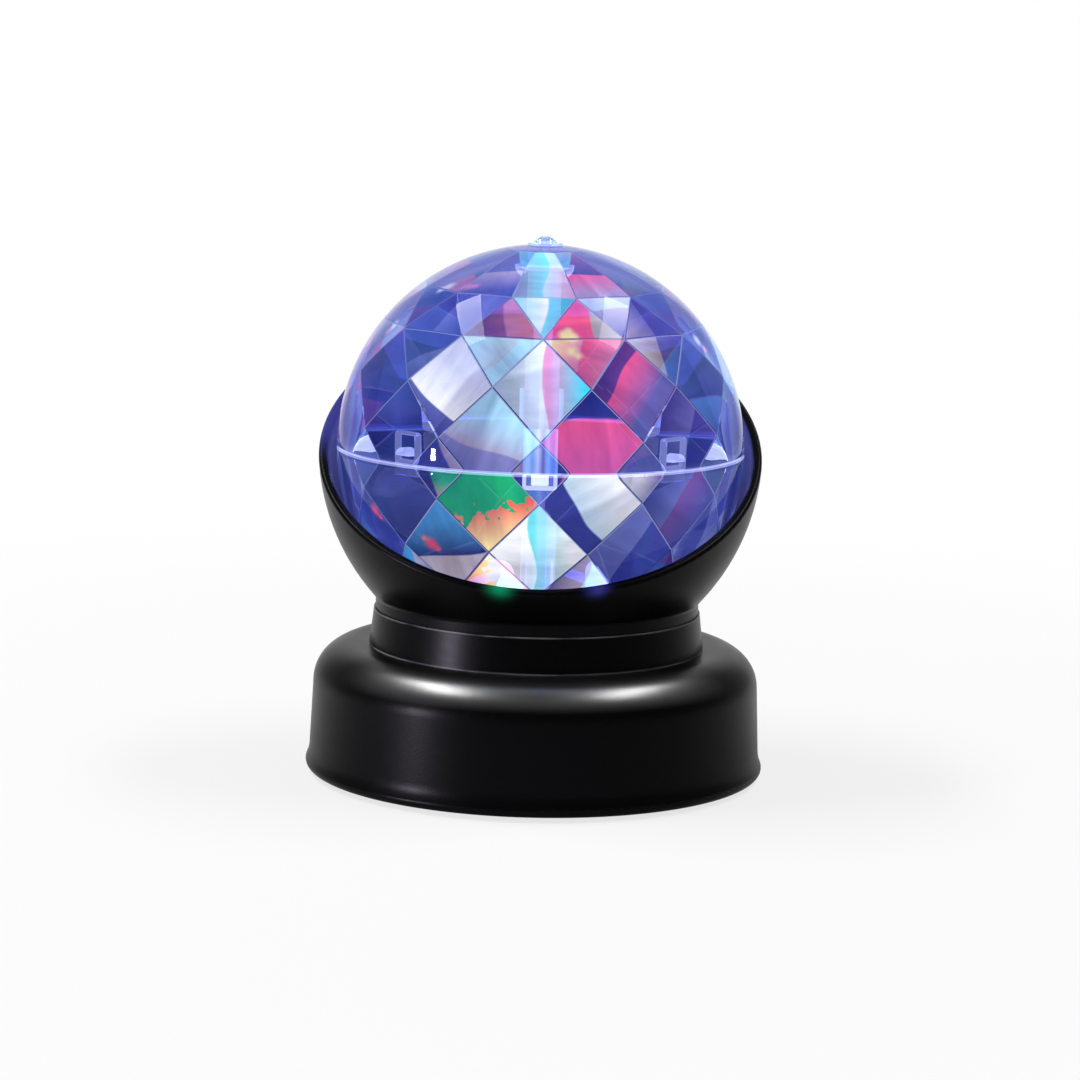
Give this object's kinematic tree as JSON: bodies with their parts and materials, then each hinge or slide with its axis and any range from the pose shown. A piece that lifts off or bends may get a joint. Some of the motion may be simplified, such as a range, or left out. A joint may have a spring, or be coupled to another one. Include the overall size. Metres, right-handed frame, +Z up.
{
  "type": "kaleidoscope lamp",
  "caption": "Battery table lamp whose clear faceted ball turns over coloured lights in a black bowl with a tilted rim, on a neck and round base.",
  "frame": {"origin": "on the table, under the middle of the base, at the bottom of the rubber feet", "axes": "+Z up along the ball's axis, -Y towards the front where the bowl's rim is low, +X to the right seen from the front"},
  "size_m": [0.102, 0.102, 0.1194],
  "materials": {
    "black_satin": "satin moulded, near black",
    "black_matte": "matt moulded, fine texture",
    "clear_ball": "clear polished plastic, lit violet-blue from inside",
    "clear_column": "clear polished plastic rod",
    "rubber": "matt black rubber",
    "steel": "turned steel",
    "zinc_screws": "zinc-plated",
    "motor_steel": "drawn steel can",
    "brass": "turned brass",
    "white_gear": "moulded nylon",
    "light_board": "white solder mask",
    "resistor": "black chip with tinned ends",
    "red_light": "lit red epoxy",
    "green_light": "lit green epoxy",
    "blue_light": "lit blue epoxy",
    "cell_wrap": "plain shrink-wrapped cell",
    "nickel": "nickel-plated strip and wire"
  },
  "bodies": {
    "stand": {"base_housing": "black_satin", "bottom_cover": "black_matte", "rubber_feet": "rubber", "cover_screws": "zinc_screws", "neck_collar": "black_satin", "bowl": "black_satin", "bowl_screws": "zinc_screws", "motor_plate": "black_matte", "plate_screws": "zinc_screws", "motor_gearbox": "brass", "motor_can": "motor_steel", "motor_screws": "zinc_screws", "thrust_washer": "white_gear", "floor_bush": "brass", "led_board": "light_board", "led_red": "red_light", "led_green": "green_light", "led_blue": "blue_light", "board_resistors": "resistor", "board_screws": "zinc_screws", "batteries": "cell_wrap", "contact_plates": "nickel", "contact_springs": "nickel", "switch_body": "black_matte", "switch_screws": "zinc_screws"},
    "ball": {"upper_dome": "clear_ball", "lower_dome": "clear_ball", "centre_column": "clear_column", "top_stud": "clear_column", "drive_shaft": "steel", "ball_gear": "white_gear"},
    "pinion": {"motor_shaft": "steel", "motor_pinion": "white_gear"},
    "switch": {"switch_slider": "black_matte"},
    "door": {"battery_door": "black_matte", "door_screws": "zinc_screws"}
  },
  "joints": [
    {"name": "ball_spin", "type": "hinge", "parent": "stand", "child": "ball", "pos_m": [0, 0, 0.0725], "axis": [0, 0, 1], "continuous": true},
    {"name": "pinion_spin", "type": "hinge", "parent": "stand", "child": "pinion", "pos_m": [0, 0.021, 0.0308], "axis": [0, 0, 1], "continuous": true},
    {"name": "switch_slide", "type": "slide", "parent": "stand", "child": "switch", "axis": [1, 0, 0], "range_m": [-0.004, 0]},
    {"name": "door_off", "type": "slide", "parent": "stand", "child": "door", "axis": [0, 0, -1], "range_m": [0, 0.03]}
  ],
  "couplings": [
    {"joint": "pinion_spin", "follows": "ball_spin", "ratio": -3}
  ]
}
